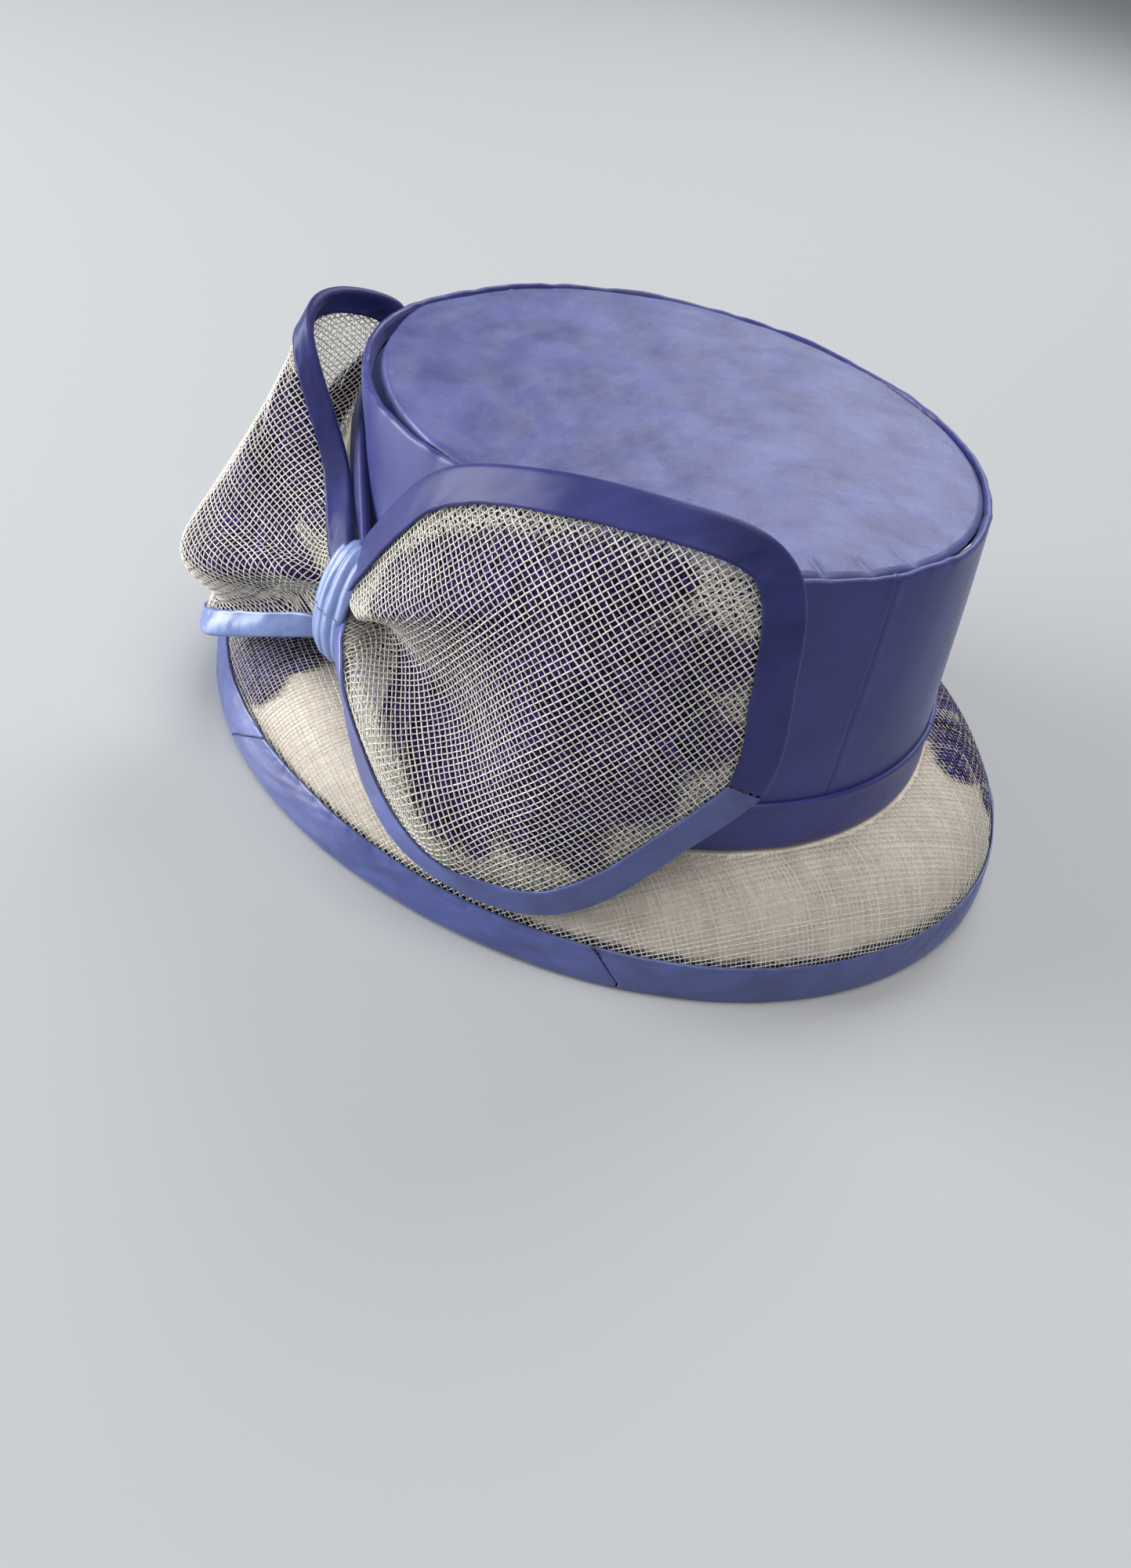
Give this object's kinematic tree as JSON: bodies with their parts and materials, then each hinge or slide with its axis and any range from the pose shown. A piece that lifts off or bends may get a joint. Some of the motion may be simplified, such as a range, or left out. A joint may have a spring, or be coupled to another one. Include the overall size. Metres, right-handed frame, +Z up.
{
  "type": "fascinator headpiece",
  "caption": "Milliner-made occasion hat: flat satin crown, bell brim of open straw cloth over feathers, and a side bow of one petal and one folded loop.",
  "frame": {"origin": "centre of the head opening, on the plane where the crown meets the brim", "axes": "+Z up the crown, +X to the wearer's front, -Y to the wearer's right, where the bow sits"},
  "size_m": [0.281, 0.233, 0.1379],
  "materials": {
    "satin_light": "satin",
    "satin_dark": "satin",
    "sinamay": "matte",
    "feather": "matte",
    "stiffener": "matte",
    "lining": "satin",
    "ribbon": "matte",
    "wadding": "matte",
    "wire": "matte",
    "thread": "matte"
  },
  "bodies": {
    "root": {"crown_tip_foundation": "stiffener", "crown_side_foundation": "stiffener", "crown_top_wire": "wire", "tip_wadding": "wadding", "tip_satin": "satin_light", "side_satin": "satin_dark", "hat_band": "satin_dark", "crown_lining": "lining", "sweatband": "ribbon", "brim_base": "stiffener", "brim_feathers_front": "feather", "brim_feathers_back": "feather", "brim_overlay": "sinamay", "brim_wire": "wire", "brim_binding_long": "satin_light", "brim_binding_short": "satin_light", "petal_outer_ply": "sinamay", "petal_feathers": "feather", "petal_inner_ply": "sinamay", "petal_wire": "wire", "petal_binding_top": "satin_light", "petal_binding_bottom": "satin_light", "loop_outer_ply": "sinamay", "loop_feathers": "feather", "loop_inner_ply": "sinamay", "loop_upper_wire": "wire", "loop_lower_wire": "wire", "loop_upper_binding": "satin_light", "loop_lower_binding": "satin_light", "bow_knot": "satin_light", "gather_thread": "thread", "bow_tacks": "thread"}
  },
  "joints": []
}
